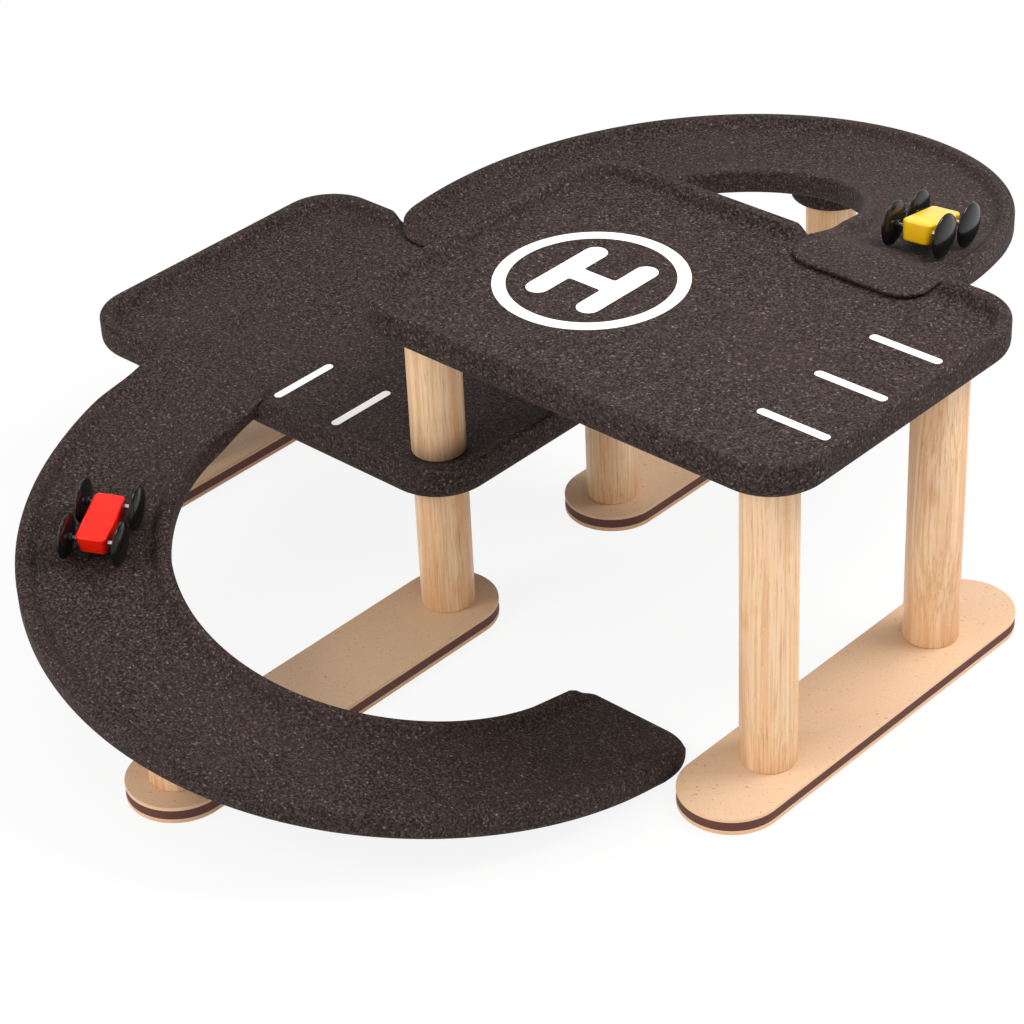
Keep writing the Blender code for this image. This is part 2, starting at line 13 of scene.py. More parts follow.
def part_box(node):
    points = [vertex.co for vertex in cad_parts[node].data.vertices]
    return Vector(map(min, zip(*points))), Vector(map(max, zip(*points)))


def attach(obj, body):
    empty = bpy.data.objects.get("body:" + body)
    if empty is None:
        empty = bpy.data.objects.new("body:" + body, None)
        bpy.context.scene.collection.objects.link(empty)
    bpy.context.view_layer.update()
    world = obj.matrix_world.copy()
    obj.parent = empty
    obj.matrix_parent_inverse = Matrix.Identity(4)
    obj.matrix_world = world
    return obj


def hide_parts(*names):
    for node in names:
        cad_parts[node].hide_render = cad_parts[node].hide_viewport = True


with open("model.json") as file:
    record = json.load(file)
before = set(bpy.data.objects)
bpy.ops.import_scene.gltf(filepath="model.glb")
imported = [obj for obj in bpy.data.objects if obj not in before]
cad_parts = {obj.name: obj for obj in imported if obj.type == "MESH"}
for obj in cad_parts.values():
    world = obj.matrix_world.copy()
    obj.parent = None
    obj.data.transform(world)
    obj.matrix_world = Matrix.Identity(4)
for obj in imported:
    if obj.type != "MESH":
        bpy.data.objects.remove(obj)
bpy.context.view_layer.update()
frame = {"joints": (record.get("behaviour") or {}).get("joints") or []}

MM = 0.001


# Foot strips
# Four strips of pressed rubberwood fibre board under pairs of posts. Each is glued up from a thin base,
# a dark dyed core and a thin top, and cut with round ends, its upper and lower edges just broken.

class Value:
    """A number that changes over a surface. Working with such numbers adds their Math nodes."""

    def __init__(self, finish, socket):
        self.finish = finish
        self.socket = socket

    def worked(self, operation, first, second):
        return self.finish.node("ShaderNodeMath", {"operation": operation}, {0: first, 1: second})

    def __add__(self, other):
        return self.worked("ADD", self, other)

    def __rsub__(self, other):
        return self.worked("SUBTRACT", other, self)

    def __mul__(self, other):
        return self.worked("MULTIPLY", self, other)

    __radd__ = __add__
    __rmul__ = __mul__


class Finish:
    """A material and the nodes that vary it. Its patterns read the place in the object, in metres."""

    def __init__(self, name, slot=None):
        self.material = bpy.data.materials.new(name)
        self.material.use_nodes = True
        self.tree = self.material.node_tree
        self.shader = self.tree.nodes["Principled BSDF"]
        self.slot = slot
        self.place = self.node("ShaderNodeTexCoord", output="Object")

    def feed(self, socket, value):
        if isinstance(value, Value):
            self.tree.links.new(value.socket, socket)
        else:
            socket.default_value = value

    def node(self, kind, settings=(), inputs=(), output=0):
        made = self.tree.nodes.new(kind)
        for key, value in dict(settings).items():
            setattr(made, key, value)
        for key, value in dict(inputs).items():
            self.feed(made.inputs[key], value)
        return Value(self, made.outputs[output])

    def surface(self, **sockets):
        """Feeds the shader's sockets, with their names written in small letters and underscores."""
        for key, value in sockets.items():
            label = key.replace("_", " ").title().replace("Ior", "IOR")
            self.feed(self.shader.inputs[label], value)

    def stretched(self, x, y, z):
        """The place with each axis times its own number, to draw a pattern out along the grain."""
        return self.node("ShaderNodeMapping", {}, {"Vector": self.place, "Scale": (x, y, z)})

    def noise(self, scale, detail=2, place=None):
        """A cloudy pattern from 0 to 1, with about this many clouds in a metre."""
        inputs = {"Vector": place or self.place, "Scale": scale, "Detail": detail}
        return self.node("ShaderNodeTexNoise", {}, inputs, "Fac")

    def ease(self, value, low, high):
        """0 below low, 1 above high, and a smooth rise between them."""
        inputs = {"Value": value, "From Min": low, "From Max": high}
        return self.node("ShaderNodeMapRange", {"interpolation_type": "SMOOTHSTEP"}, inputs)

    def tint(self, share, first, second):
        """A colour between two others."""
        settings = {"data_type": "RGBA", "clamp_factor": True}
        return self.node("ShaderNodeMix", settings, {0: share, 6: first, 7: second}, 2)

    def relief(self, height, depth, over=None):
        """A normal from a height of 0 to 1, which stands for this depth."""
        inputs = {"Height": height, "Distance": depth, "Strength": 1}
        if over:
            inputs["Normal"] = over
        return self.node("ShaderNodeBump", {}, inputs)


def colour(red, green, blue):
    """A colour given as it shows on a screen, in steps of 255, for a shader."""
    shown = [part / 255 for part in (red, green, blue)]
    return (*[part / 12.92 if part < 0.04 else ((part + 0.055) / 1.055) ** 2.4 for part in shown], 1)


CRISP_ANGLE = 40
TOUCH = 0.001 * MM
ROUND_END_SLACK = 0.01 * MM


def make_piece(bm, name, finish, body, *nodes):
    """Turns a bmesh into a piece that rides on a body and stands for its CAD nodes."""
    bmesh.ops.recalc_face_normals(bm, faces=bm.faces)
    mesh = bpy.data.meshes.new(name)
    bm.to_mesh(mesh)
    bm.free()
    mesh.shade_smooth()
    mesh.set_sharp_from_angle(angle=math.radians(CRISP_ANGLE))
    mesh.materials.append(finish.material)
    piece = bpy.data.objects.new(name, mesh)
    bpy.context.collection.objects.link(piece)
    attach(piece, body)
    if nodes:
        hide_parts(*nodes)


def raise_blank(bm, height):
    """Gives a flat blank its thickness."""
    raised = bmesh.ops.extrude_face_region(bm, geom=bm.faces[:])["geom"]
    verts = [item for item in raised if isinstance(item, bmesh.types.BMVert)]
    bmesh.ops.translate(bm, verts=verts, vec=(0, 0, height))


def soften(bm, height, radius, steps):
    """Rounds the outline of a blank's flat face at this height."""
    outline = [
        edge for edge in bm.edges
        if all(abs(vert.co.z - height) < TOUCH for vert in edge.verts)
    ]
    bmesh.ops.bevel(
        bm, geom=outline, offset=radius, offset_type="OFFSET", segments=steps, profile=0.5,
        affect="EDGES", material=-1)


def round_corners(bm, verts, radius, steps):
    bmesh.ops.bevel(
        bm, geom=verts, offset=radius, offset_type="OFFSET", segments=steps, profile=0.5,
        affect="VERTICES", material=-1)


def alike(radius):
    """The same radius at all four corners of a board."""
    return ((radius,) * 2,) * 2


def board(low, high, bottom, top, radii, steps):
    """A blank with a rounded plan; radii has a pair for its low and its high end along X, by Y."""
    bm = bmesh.new()
    bmesh.ops.create_grid(bm, x_segments=1, y_segments=1, size=0.5)
    size = Vector(high) - Vector(low)
    bmesh.ops.scale(bm, verts=bm.verts, vec=(*size, 1))
    middle = Vector(low) + size / 2
    bmesh.ops.translate(bm, verts=bm.verts, vec=(*middle, bottom))
    corners = sorted(bm.verts, key=lambda vert: (vert.co.x > middle.x, vert.co.y))
    for corner, radius in zip(corners, radii[0] + radii[1]):
        round_corners(bm, [corner], radius, steps)
    raise_blank(bm, top - bottom)
    return bm


FOOT_HALF_WIDTH = 28 * MM
FOOT_END_R = FOOT_HALF_WIDTH - ROUND_END_SLACK
FOOT_END_STEPS = 20
FOOT_BASE_TOP = 2.6 * MM
FOOT_CORE_TOP = 8 * MM
FOOT_TOP = 10 * MM
FOOT_ARRIS = 0.5 * MM
FOOT_BASE_STEPS = 2
FOOT_TOP_STEPS = 3
GLUE_LINE = 0.15 * MM

BOARD_TAN = colour(221, 184, 148)
BOARD_CREAM = colour(231, 200, 167)
BOARD_STREAK = colour(216, 174, 134)
BOARD_FLECK = colour(190, 140, 104)
BOARD_CHIP = colour(164, 112, 80)
CUT_EDGE_TAN = colour(218, 166, 124)
CUT_EDGE_CREAM = colour(242, 204, 166)
CORE_BROWN = colour(80, 40, 32)
CORE_RUST = colour(108, 58, 46)
CORE_GRAIN = colour(70, 35, 29)

fibre_face = Finish("pressed fibre board", "foot_face")
grain = fibre_face.noise(1900, 3)
fleck = fibre_face.ease(fibre_face.noise(820, 1), 0.62, 0.72)
chip = fibre_face.ease(fibre_face.noise(430, 1), 0.70, 0.75)
cloud = fibre_face.noise(22, 3)
upright = fibre_face.node(
    "ShaderNodeSeparateXYZ", {}, {0: fibre_face.node("ShaderNodeNewGeometry", output="Normal")}, 2)
facing = fibre_face.ease(upright, 0.35, 0.9)
body_tone = fibre_face.tint(cloud, BOARD_TAN, BOARD_CREAM)
streaks = fibre_face.ease(grain, 0.4, 0.62)
body_tone = fibre_face.tint(streaks * 0.6, body_tone, BOARD_STREAK)
body_tone = fibre_face.tint(fleck * 0.4, body_tone, BOARD_FLECK)
body_tone = fibre_face.tint(chip * 0.5, body_tone, BOARD_CHIP)
edge_tone = fibre_face.tint(grain, CUT_EDGE_TAN, CUT_EDGE_CREAM)
fibre_face.surface(
    base_color=fibre_face.tint(facing, edge_tone, body_tone),
    roughness=0.46 + 0.18 * grain,
    normal=fibre_face.relief(grain, 0.05 * MM))

dyed_core = Finish("dark dyed fibre board", "foot_core")
grain = dyed_core.noise(1500, 3)
layers = dyed_core.noise(1, 2, dyed_core.stretched(60, 60, 1500))
dark = dyed_core.tint(layers, CORE_BROWN, CORE_RUST)
dyed_core.surface(
    base_color=dyed_core.tint(grain * 0.5, dark, CORE_GRAIN),
    roughness=0.6 + 0.2 * grain,
    normal=dyed_core.relief(grain, 0.1 * MM))

# Each strip's middle along X, and its two ends along Y, in millimetres.
FOOT_STRIPS = {
    "foot_cd": (225, -128, 128),
    "foot_gh": (-225, -128, 128),
    "foot_ai": (0, -303, -42),
    "foot_ef": (0, 42, 303),
}
for strip, (x, y_low, y_high) in FOOT_STRIPS.items():
    for layer, bottom, top, inset in (
        ("base", 0, FOOT_BASE_TOP, 0),
        ("core", FOOT_BASE_TOP, FOOT_CORE_TOP, GLUE_LINE),
        ("top", FOOT_CORE_TOP, FOOT_TOP, 0),
    ):
        half = FOOT_HALF_WIDTH - inset
        bm = board(
            (x * MM - half, y_low * MM + inset), (x * MM + half, y_high * MM - inset),
            bottom, top, alike(FOOT_END_R - inset), FOOT_END_STEPS)
        if layer == "base":
            soften(bm, bottom, FOOT_ARRIS, FOOT_BASE_STEPS)
        if layer == "top":
            soften(bm, top, FOOT_ARRIS, FOOT_TOP_STEPS)
        finish = dyed_core if layer == "core" else fibre_face
        make_piece(bm, f"{strip}_{layer}_layer", finish, "garage", f"{strip}_{layer}")


# Posts
# Ten turned rubberwood posts, 30 mm through, oiled and left pale. Their tenons are glued into the foot
# strips, decks and ramp bosses; the two middle ones are in two lengths with the lower deck between.

POST_R = 15 * MM
POST_ARRIS = 0.8 * MM
POST_STEPS = 64
POST_ARRIS_STEPS = 2
RAMP_TENON = 9 * MM
GRAIN_LEAN = (0.012, -0.009, 0)

WOOD_TAN = colour(226, 178, 130)
WOOD_CREAM = colour(246, 212, 172)
WOOD_AMBER = colour(214, 150, 88)
WOOD_LINE = colour(204, 148, 100)
WOOD_RAY = colour(250, 226, 196)
WOOD_PORE = colour(172, 116, 74)

rubberwood = Finish("turned rubberwood", "rubberwood")
bend = rubberwood.noise(9, 1)
drift = rubberwood.node("ShaderNodeVectorMath", {"operation": "SCALE"}, {0: GRAIN_LEAN, 3: bend})
leaning = rubberwood.node(
    "ShaderNodeVectorMath", {"operation": "ADD"}, {0: rubberwood.place, 1: drift})


def along_grain(across, up):
    """The place drawn out along the trunk, leaning with the slow bend of the grain."""
    inputs = {"Vector": leaning, "Scale": (across, across, up)}
    return rubberwood.node("ShaderNodeMapping", {}, inputs)


bands = rubberwood.noise(1, 2, along_grain(120, 4))
lines = rubberwood.ease(rubberwood.noise(1, 2, along_grain(760, 5)), 0.46, 0.66)
pores = rubberwood.ease(rubberwood.noise(1, 2, along_grain(1500, 42)), 0.56, 0.72)
rays = rubberwood.ease(rubberwood.noise(1, 1, along_grain(900, 300)), 0.6, 0.75)
amber = rubberwood.ease(rubberwood.noise(1, 2, along_grain(70, 26)), 0.6, 0.8)
broad = rubberwood.ease(bands, 0.3, 0.7)
pale = rubberwood.tint(broad, WOOD_TAN, WOOD_CREAM)
pale = rubberwood.tint(amber * 0.5, pale, WOOD_AMBER)
pale = rubberwood.tint(lines * 0.45, pale, WOOD_LINE)
pale = rubberwood.tint(rays * 0.25, pale, WOOD_RAY)
rubberwood.surface(
    base_color=rubberwood.tint(pores * 0.4, pale, WOOD_PORE),
    roughness=0.42 + 0.2 * pores,
    normal=rubberwood.relief(1 - pores, 0.06 * MM))


def turned_blank(spot, radius, bottom, top, steps):
    bm = bmesh.new()
    bmesh.ops.create_circle(bm, cap_ends=True, radius=radius, segments=steps)
    bmesh.ops.translate(bm, verts=bm.verts, vec=(*spot, bottom))
    raise_blank(bm, top - bottom)
    return bm


LOWER_UNDERSIDE = 96 * MM
LOWER_SURFACE = 109 * MM
UPPER_UNDERSIDE = 188 * MM
UPPER_SURFACE = 201 * MM

# Each post's place along X and Y in millimetres, and the heights of its two shoulders.
POSTS = {
    "post_c": (225, -70, FOOT_TOP, UPPER_UNDERSIDE),
    "post_d": (225, 70, FOOT_TOP, UPPER_UNDERSIDE),
    "post_g": (-225, -70, FOOT_TOP, LOWER_UNDERSIDE),
    "post_h": (-225, 70, FOOT_TOP, LOWER_UNDERSIDE),
    "post_a_lower": (0, -70, FOOT_TOP, LOWER_UNDERSIDE),
    "post_e_lower": (0, 70, FOOT_TOP, LOWER_UNDERSIDE),
    "post_a_upper": (0, -70, LOWER_SURFACE, UPPER_UNDERSIDE),
    "post_e_upper": (0, 70, LOWER_SURFACE, UPPER_UNDERSIDE),
    "post_i": (0, -275, FOOT_TOP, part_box("post_i")[1].z - RAMP_TENON),
    "post_f": (0, 275, FOOT_TOP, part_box("post_f")[1].z - RAMP_TENON),
}
for name, (x, y, bottom, top) in POSTS.items():
    bm = turned_blank((x * MM, y * MM), POST_R, bottom, top, POST_STEPS)
    soften(bm, bottom, POST_ARRIS, POST_ARRIS_STEPS)
    soften(bm, top, POST_ARRIS, POST_ARRIS_STEPS)
    make_piece(bm, f"{name}_turning", rubberwood, "garage", name)


# Decks
# Two boards of dark wood fibre pressed in a mould, with a raised rim all round that fades away where a
# ramp laps over the edge. The fibres show as pale flecks in a soft pebbled skin.

DECK_HALF_X = 146 * MM
DECK_HALF_Y = 103.5 * MM
DECK_CORNER_R = 32 * MM
DECK_RIM = 7 * MM
RIM_WIDTH = 12 * MM
RIM_EDGE_R = 2.4 * MM
RIM_FLAT = 3 * MM
BOTTOM_EDGE_R = 7 * MM
RIM_STEPS = 9
EDGE_STEPS = 6
CORNER_STEPS = 14
OPENING_HALF = 42 * MM
OPENING_FADE = 9 * MM
OPENING_STEPS = 7
FLAT_UP = 0.9

SKIN_DARK = colour(20, 13, 12)
SKIN_BROWN = colour(65, 51, 48)
SKIN_WARM = colour(62, 44, 42)
SKIN_HOLLOW = colour(22, 15, 14)
FIBRE_GREY = colour(99, 86, 81)
FIBRE_PALE = colour(128, 116, 108)

moulded_fibre = Finish("moulded wood fibre", "composite")
pebble = moulded_fibre.noise(700, 3)
coarse = moulded_fibre.noise(300, 2)
fibres = moulded_fibre.ease(moulded_fibre.noise(640, 2), 0.57, 0.66)
bright = moulded_fibre.ease(moulded_fibre.noise(640, 1), 0.71, 0.77)
cloud = moulded_fibre.noise(14, 3)
pebble_tops = moulded_fibre.ease(pebble, 0.4, 0.6)
warmer = moulded_fibre.ease(cloud, 0.35, 0.7)
hollows = moulded_fibre.ease(coarse, 0.5, 0.72)
ground = moulded_fibre.tint(pebble_tops, SKIN_DARK, SKIN_BROWN)
ground = moulded_fibre.tint(warmer * 0.3, ground, SKIN_WARM)
ground = moulded_fibre.tint(hollows * 0.35, ground, SKIN_HOLLOW)
ground = moulded_fibre.tint(fibres * 0.6, ground, FIBRE_GREY)
moulded_fibre.surface(
    base_color=moulded_fibre.tint(bright * 0.8, ground, FIBRE_PALE),
    roughness=0.66 + 0.25 * pebble,
    specular_ior_level=0.22,
    normal=moulded_fibre.relief(coarse, 0.2 * MM, moulded_fibre.relief(pebble, 0.12 * MM)))


def smooth_step(t):
    """0 up to 0, 1 from 1 on, and a smooth rise between them."""
    t = min(max(t, 0), 1)
    return t * t * (3 - 2 * t)


def rim_share(inset):
    """How much of a rim's height it has at this distance in from the board's wall."""
    crest = RIM_EDGE_R + RIM_FLAT
    t = min(max((inset - crest) / (RIM_WIDTH - crest), 0), 1)
    return 0.5 + 0.5 * math.cos(math.pi * t)


def slice_across(bm, axis, places):
    """Cuts edges across a piece where planes at these places along an axis meet it."""
    along = Vector((axis == "x", axis == "y", axis == "z"))
    for place in places:
        geom = bm.verts[:] + bm.edges[:] + bm.faces[:]
        bmesh.ops.bisect_plane(bm, geom=geom, dist=TOUCH, plane_co=along * place, plane_no=along)


def deck(name, middle_x, underside, surface, opening_x, opening_sides):
    """A board whose rim is open at opening_x, on the sides of Y that opening_sides gives."""
    crest = surface + DECK_RIM
    low = (middle_x - DECK_HALF_X, -DECK_HALF_Y)
    high = (middle_x + DECK_HALF_X, DECK_HALF_Y)
    bm = board(low, high, underside, crest, alike(DECK_CORNER_R), CORNER_STEPS)
    soften(bm, underside, BOTTOM_EDGE_R, EDGE_STEPS)
    soften(bm, crest, RIM_EDGE_R, EDGE_STEPS)
    bm.normal_update()
    tray = max(
        (face for face in bm.faces if face.normal.z > FLAT_UP), key=lambda face: face.calc_area())
    crest_in = RIM_EDGE_R + RIM_FLAT
    insets = [RIM_EDGE_R, crest_in] + [
        crest_in + (RIM_WIDTH - crest_in) * step / RIM_STEPS for step in range(1, RIM_STEPS + 1)]
    for outer, inner in zip(insets, insets[1:]):
        bmesh.ops.inset_region(bm, faces=[tray], thickness=inner - outer, use_even_offset=True)
        fall = DECK_RIM * (rim_share(inner) - rim_share(outer))
        bmesh.ops.translate(bm, verts=tray.verts, vec=(0, 0, fall))
    fades = [OPENING_HALF + OPENING_FADE * step / OPENING_STEPS for step in range(OPENING_STEPS + 1)]
    slice_across(bm, "x", [opening_x + side * reach for side in (-1, 1) for reach in fades])
    for vert in bm.verts:
        over = vert.co.z - surface
        beside = abs(vert.co.x - opening_x) - OPENING_HALF
        at_side = any(
            side * vert.co.y > DECK_HALF_Y - RIM_WIDTH - TOUCH for side in opening_sides)
        if over > 0 and at_side and beside < OPENING_FADE:
            vert.co.z = surface + over * smooth_step(beside / OPENING_FADE)
    make_piece(bm, f"{name}_board", moulded_fibre, "garage", name)


RAMP_R = 151 * MM
LIP_SWING = 7 * MM
deck("lower_deck", -112.5 * MM, LOWER_UNDERSIDE, LOWER_SURFACE, -RAMP_R, (-1, 1))
deck("upper_deck", 112.5 * MM, UPPER_UNDERSIDE, UPPER_SURFACE, RAMP_R + LIP_SWING, (1,))


# Ramps
# Two half-turn boards of the same moulded fibre, their cross-section level all the way down. Each laps
# over the deck above it and thins out to a tip below; a boss under its middle takes the post's tenon.

RAMP_HALF_WIDTH = 41.5 * MM
RAMP_CENTRE_Y = 122 * MM
RAMP_THICKNESS = 10.7 * MM
RAMP_RIM = 5 * MM
RAMP_EDGE_R = 5 * MM
RAMP_LIP = 3.3 * MM
RAMP_KNEE = 4.8 * MM
RAMP_KNEE_RUN = 30 * MM
RAMP_BLEND = 8 * MM
BLEND_STEPS = 4
RIM_START = 4 * MM
RIM_RISE = 38 * MM
RIM_FALL = 10 * MM
RIM_END_GAP = 3 * MM
LEAD_SWING_RUN = 95 * MM
TOP_CORNER_R = (17 * MM, 17 * MM)
FOOT_CORNER_R = (9 * MM, 26 * MM)
SEAT_GAP = 0.3 * MM
STATION_PITCH = 4.5 * MM
BOSS_R = 24 * MM
BOSS_HEIGHT = 16 * MM
BOSS_EDGE = 1.5 * MM
BOSS_EDGE_STEPS = 3
BOSS_SLICES = 8
BOSS_ROOT = 4 * MM
BOSS_FLARE = 0.22
BOSS_FLARE_START = 0.4
RAMP_POST_OFFSET = 2 * MM


class Ramp:
    """A ramp's plan, worked out about -Y and turned by half a turn where turn is -1, and its heights.

    lap is how far its lip reaches in over the deck. swing moves the lip outwards and flare widens it.
    ease is the slope at the top against the mean one, and seats are the heights its two ends lie on.
    """

    def __init__(self, turn, lap, swing, flare, top, foot, foot_y, ease, seats):
        self.turn = turn
        self.lap = lap
        self.swing = swing
        self.flare = flare
        self.top = top
        self.foot = foot
        self.foot_y = foot_y
        self.ease = ease
        self.seats = seats
        self.end_y = DECK_HALF_Y - lap
        self.lead = RAMP_CENTRE_Y - self.end_y
        self.arc_end = self.lead + math.pi * RAMP_R
        self.length = self.arc_end + RAMP_CENTRE_Y - foot_y

    def plan(self, s, offset):
        """The place in plan at distance s down the ramp and offset outwards from its middle line."""
        lead_share = 1 - smooth_step(s / LEAD_SWING_RUN)
        reach = RAMP_R + offset + (self.swing + self.flare * offset) * lead_share
        if s < self.lead:
            x, y = -reach, -self.end_y - s
        elif s < self.arc_end:
            angle = (s - self.lead) / RAMP_R
            x, y = -reach * math.cos(angle), -RAMP_CENTRE_Y - reach * math.sin(angle)
        else:
            x, y = reach, -RAMP_CENTRE_Y + s - self.arc_end
        return self.turn * x, self.turn * y

    def slope_line(self, s):
        out = s - self.lap
        t = min(max(out / (self.length - self.lap), 0), 1)
        fall = self.top - self.foot - RAMP_KNEE
        knee = RAMP_KNEE * smooth_step(out / RAMP_KNEE_RUN)
        return self.top - knee - fall * (self.ease * t + (1 - self.ease) * t * t)

    def surface(self, s):
        """The slope line, blended over a short run."""
        steps = range(-BLEND_STEPS, BLEND_STEPS + 1)
        return sum(self.slope_line(s + RAMP_BLEND * step / BLEND_STEPS) for step in steps) / len(steps)

    def base(self, s):
        """The underside, cut away where it rests on a deck or the floor."""
        rest = 0
        top_seat, foot_seat = self.seats
        if s < self.lap + SEAT_GAP + TOUCH:
            rest = top_seat + SEAT_GAP
        if foot_seat and self.length - s < DECK_HALF_Y - self.foot_y + SEAT_GAP + TOUCH:
            rest = foot_seat + SEAT_GAP
        return max(self.surface(s) - RAMP_THICKNESS, rest)

    def rim(self, s):
        rise = smooth_step((s - self.lap - RIM_START) / RIM_RISE)
        return RAMP_RIM * min(rise, smooth_step((self.length - s - RIM_END_GAP) / RIM_FALL))

    def moulded(self, flat):
        """Where a point of the flat blank goes: along it is X, across it Y, and up through it Z."""
        s, offset, height = flat
        x, y = self.plan(s, offset)
        base = self.base(s)
        top = self.surface(s) + self.rim(s) * rim_share(RAMP_HALF_WIDTH - abs(offset))
        squeeze = min((top - base) / RAMP_THICKNESS, 1)
        if height < RAMP_THICKNESS - RIM_EDGE_R - TOUCH:
            return Vector((x, y, base + squeeze * height))
        return Vector((x, y, top - squeeze * (RAMP_THICKNESS - height)))


def ramp_board(name, ramp):
    bm = board(
        (0, -RAMP_HALF_WIDTH), (ramp.length, RAMP_HALF_WIDTH), 0, RAMP_THICKNESS,
        (TOP_CORNER_R, FOOT_CORNER_R), CORNER_STEPS)
    soften(bm, 0, RAMP_EDGE_R, EDGE_STEPS)
    soften(bm, RAMP_THICKNESS, RIM_EDGE_R, EDGE_STEPS)
    crest_in = RIM_EDGE_R + RIM_FLAT
    insets = [crest_in + (RIM_WIDTH - crest_in) * step / RIM_STEPS for step in range(RIM_STEPS + 1)]
    slice_across(bm, "y", [side * (RAMP_HALF_WIDTH - inset) for side in (-1, 1) for inset in insets])
    count = round(ramp.length / STATION_PITCH)
    stations = [ramp.length * step / count for step in range(1, count)]
    seat_ends = [ramp.lap + SEAT_GAP]
    if ramp.seats[1]:
        seat_ends.append(ramp.length - (DECK_HALF_Y - ramp.foot_y + SEAT_GAP))
    stations += [end + side * 2 * TOUCH for end in seat_ends for side in (-1, 1)]
    slice_across(bm, "x", stations)
    for vert in bm.verts:
        vert.co = ramp.moulded(vert.co)
    make_piece(bm, f"{name}_board", moulded_fibre, "garage", name)

    middle = ramp.lead + math.pi / 2 * RAMP_R
    spot = ramp.plan(middle, RAMP_POST_OFFSET)
    bottom = ramp.base(middle) - BOSS_HEIGHT
    bm = turned_blank(spot, BOSS_R, bottom, bottom + BOSS_HEIGHT, POST_STEPS)
    soften(bm, bottom, BOSS_EDGE, BOSS_EDGE_STEPS)
    slice_across(bm, "z", [bottom + BOSS_HEIGHT * step / BOSS_SLICES for step in range(2, BOSS_SLICES)])
    for vert in bm.verts:
        up = (vert.co.z - bottom) / BOSS_HEIGHT
        spread = 1 + BOSS_FLARE * max(up - BOSS_FLARE_START, 0) ** 2
        out = Vector((vert.co.x - spot[0], vert.co.y - spot[1])) * spread
        rise = ramp.base(middle + ramp.turn * out.x) + BOSS_ROOT - bottom - BOSS_HEIGHT
        vert.co = (spot[0] + out.x, spot[1] + out.y, vert.co.z + rise * smooth_step(up))
    make_piece(bm, f"{name}_boss", moulded_fibre, "garage")


LOWER_RAMP = Ramp(
    turn=1, lap=15 * MM, swing=0, flare=0.07, top=LOWER_SURFACE + RAMP_LIP, foot=4.5 * MM,
    foot_y=80 * MM, ease=0.95, seats=(LOWER_SURFACE, None))
UPPER_RAMP = Ramp(
    turn=-1, lap=28 * MM, swing=LIP_SWING + 1 * MM, flare=0.02, top=UPPER_SURFACE + RAMP_LIP,
    foot=LOWER_SURFACE + 2.5 * MM, foot_y=87 * MM, ease=1.5, seats=(UPPER_SURFACE, LOWER_SURFACE))
ramp_board("lower_ramp", LOWER_RAMP)
ramp_board("upper_ramp", UPPER_RAMP)


# Painted signs
# A ringed H for a helicopter to land on, and dashes between the parking places. They are screen
# printed in white straight on the moulded skin, so its pebbles show faintly through.

PRINT_BELOW = 0.1 * MM
PRINT_ABOVE = 0.12 * MM
SIGN_CENTRE = (53.6 * MM, -3.1 * MM)
RING_OUTER_R = 52.5 * MM
RING_INNER_R = 45.1 * MM
RING_STEPS = 128
STROKE = 13.3 * MM
STROKE_PITCH = 35.1 * MM
STROKE_LENGTH = 59 * MM
CROSSBAR = 11.8 * MM
H_CENTRE = (53.9 * MM, -2.8 * MM)
STROKE_END_R = STROKE / 2 - ROUND_END_SLACK
STROKE_END_STEPS = 12
H_FILLET = 1.8 * MM
H_FILLET_STEPS = 5
DASH_WIDTH = 5.2 * MM
DASH_END_R = DASH_WIDTH / 2 - ROUND_END_SLACK
DASH_END_STEPS = 10

PRINT_WHITE = colour(255, 255, 253)
PRINT_WORN = colour(222, 216, 211)

white_print = Finish("white screen print")
pebble = white_print.noise(1250, 3)
worn = white_print.ease(white_print.noise(700, 3), 0.74, 0.8)
white_print.surface(
    base_color=white_print.tint(worn * 0.3, PRINT_WHITE, PRINT_WORN),
    roughness=0.45 + 0.2 * pebble,
    normal=white_print.relief(pebble, 0.05 * MM))

bm = bmesh.new()
for radius in (RING_OUTER_R, RING_INNER_R):
    bmesh.ops.create_circle(bm, radius=radius, segments=RING_STEPS)
bmesh.ops.bridge_loops(bm, edges=bm.edges[:])
bmesh.ops.translate(bm, verts=bm.verts, vec=(*SIGN_CENTRE, UPPER_SURFACE - PRINT_BELOW))
raise_blank(bm, PRINT_BELOW + PRINT_ABOVE)
make_piece(bm, "landing_ring_print", white_print, "garage")

bm = bmesh.new()
bmesh.ops.create_grid(bm, x_segments=3, y_segments=3, size=1.5)
columns = [
    side * (STROKE_PITCH + outer * STROKE) / 2
    for side, outer in ((-1, 1), (-1, -1), (1, -1), (1, 1))]
rows = (-STROKE_LENGTH / 2, -CROSSBAR / 2, CROSSBAR / 2, STROKE_LENGTH / 2)
centres = {face: face.calc_center_median() for face in bm.faces}
openings = [face for face, centre in centres.items() if abs(centre.x) < 0.5 < abs(centre.y)]
bmesh.ops.delete(bm, geom=openings, context="FACES")
for vert in bm.verts:
    vert.co = (columns[round(vert.co.x + 1.5)], rows[round(vert.co.y + 1.5)], 0)
bmesh.ops.dissolve_faces(bm, faces=bm.faces[:])
stroke_ends = [vert for vert in bm.verts if abs(vert.co.y) > CROSSBAR]
round_corners(bm, stroke_ends, STROKE_END_R, STROKE_END_STEPS)
inner = [
    vert for vert in bm.verts
    if abs(abs(vert.co.x) - columns[2]) < TOUCH and abs(abs(vert.co.y) - CROSSBAR / 2) < TOUCH]
round_corners(bm, inner, H_FILLET, H_FILLET_STEPS)
bmesh.ops.translate(bm, verts=bm.verts, vec=(*H_CENTRE, UPPER_SURFACE - PRINT_BELOW))
raise_blank(bm, PRINT_BELOW + PRINT_ABOVE)
make_piece(bm, "landing_h_print", white_print, "garage")

